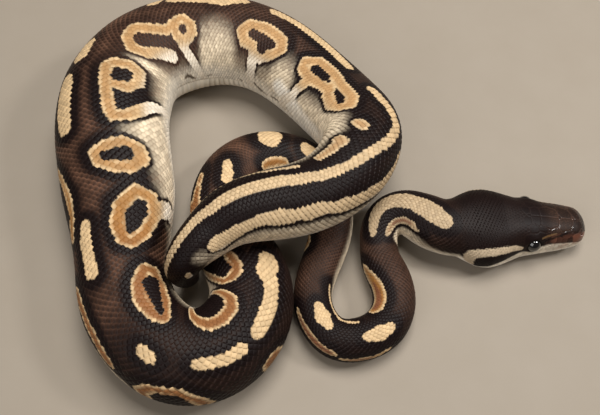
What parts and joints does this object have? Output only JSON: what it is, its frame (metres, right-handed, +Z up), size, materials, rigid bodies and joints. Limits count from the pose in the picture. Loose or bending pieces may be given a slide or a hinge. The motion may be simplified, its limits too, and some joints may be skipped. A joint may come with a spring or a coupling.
{
  "type": "coiled snake model",
  "caption": "Life-size still model of a young ball python lying coiled on a floor, mouth closed, head out to one side.",
  "frame": {"origin": "middle of the outline seen from above, on the floor under the coil", "axes": "+X the way the snout points and the longest side, +Y across the coil towards the great loop, +Z up"},
  "size_m": [0.1648, 0.1382, 0.035],
  "materials": {
    "skin": "smooth dark brown scales with tan and cream markings, satin sheen",
    "chin_skin": "cream scales, satin sheen",
    "eye": "dark, wet gloss"
  },
  "bodies": {
    "root": {"eye_left": "eye", "eye_right": "eye", "head": "skin", "lower_jaw": "chin_skin", "neck_1": "skin", "neck_2": "skin", "tail_1": "skin", "tail_2": "skin", "tail_3": "skin", "tail_4": "skin", "tail_5": "skin", "trunk_01": "skin", "trunk_02": "skin", "trunk_03": "skin", "trunk_04": "skin", "trunk_05": "skin", "trunk_06": "skin", "trunk_07": "skin", "trunk_08": "skin", "trunk_09": "skin", "trunk_10": "skin", "trunk_11": "skin", "trunk_12": "skin", "trunk_13": "skin", "trunk_14": "skin", "trunk_15": "skin", "trunk_16": "skin", "trunk_17": "skin", "trunk_18": "skin", "trunk_19": "skin", "trunk_20": "skin", "trunk_21": "skin", "trunk_22": "skin", "trunk_23": "skin", "trunk_24": "skin", "trunk_25": "skin", "trunk_26": "skin", "trunk_27": "skin", "trunk_28": "skin", "trunk_29": "skin"}
  },
  "joints": []
}
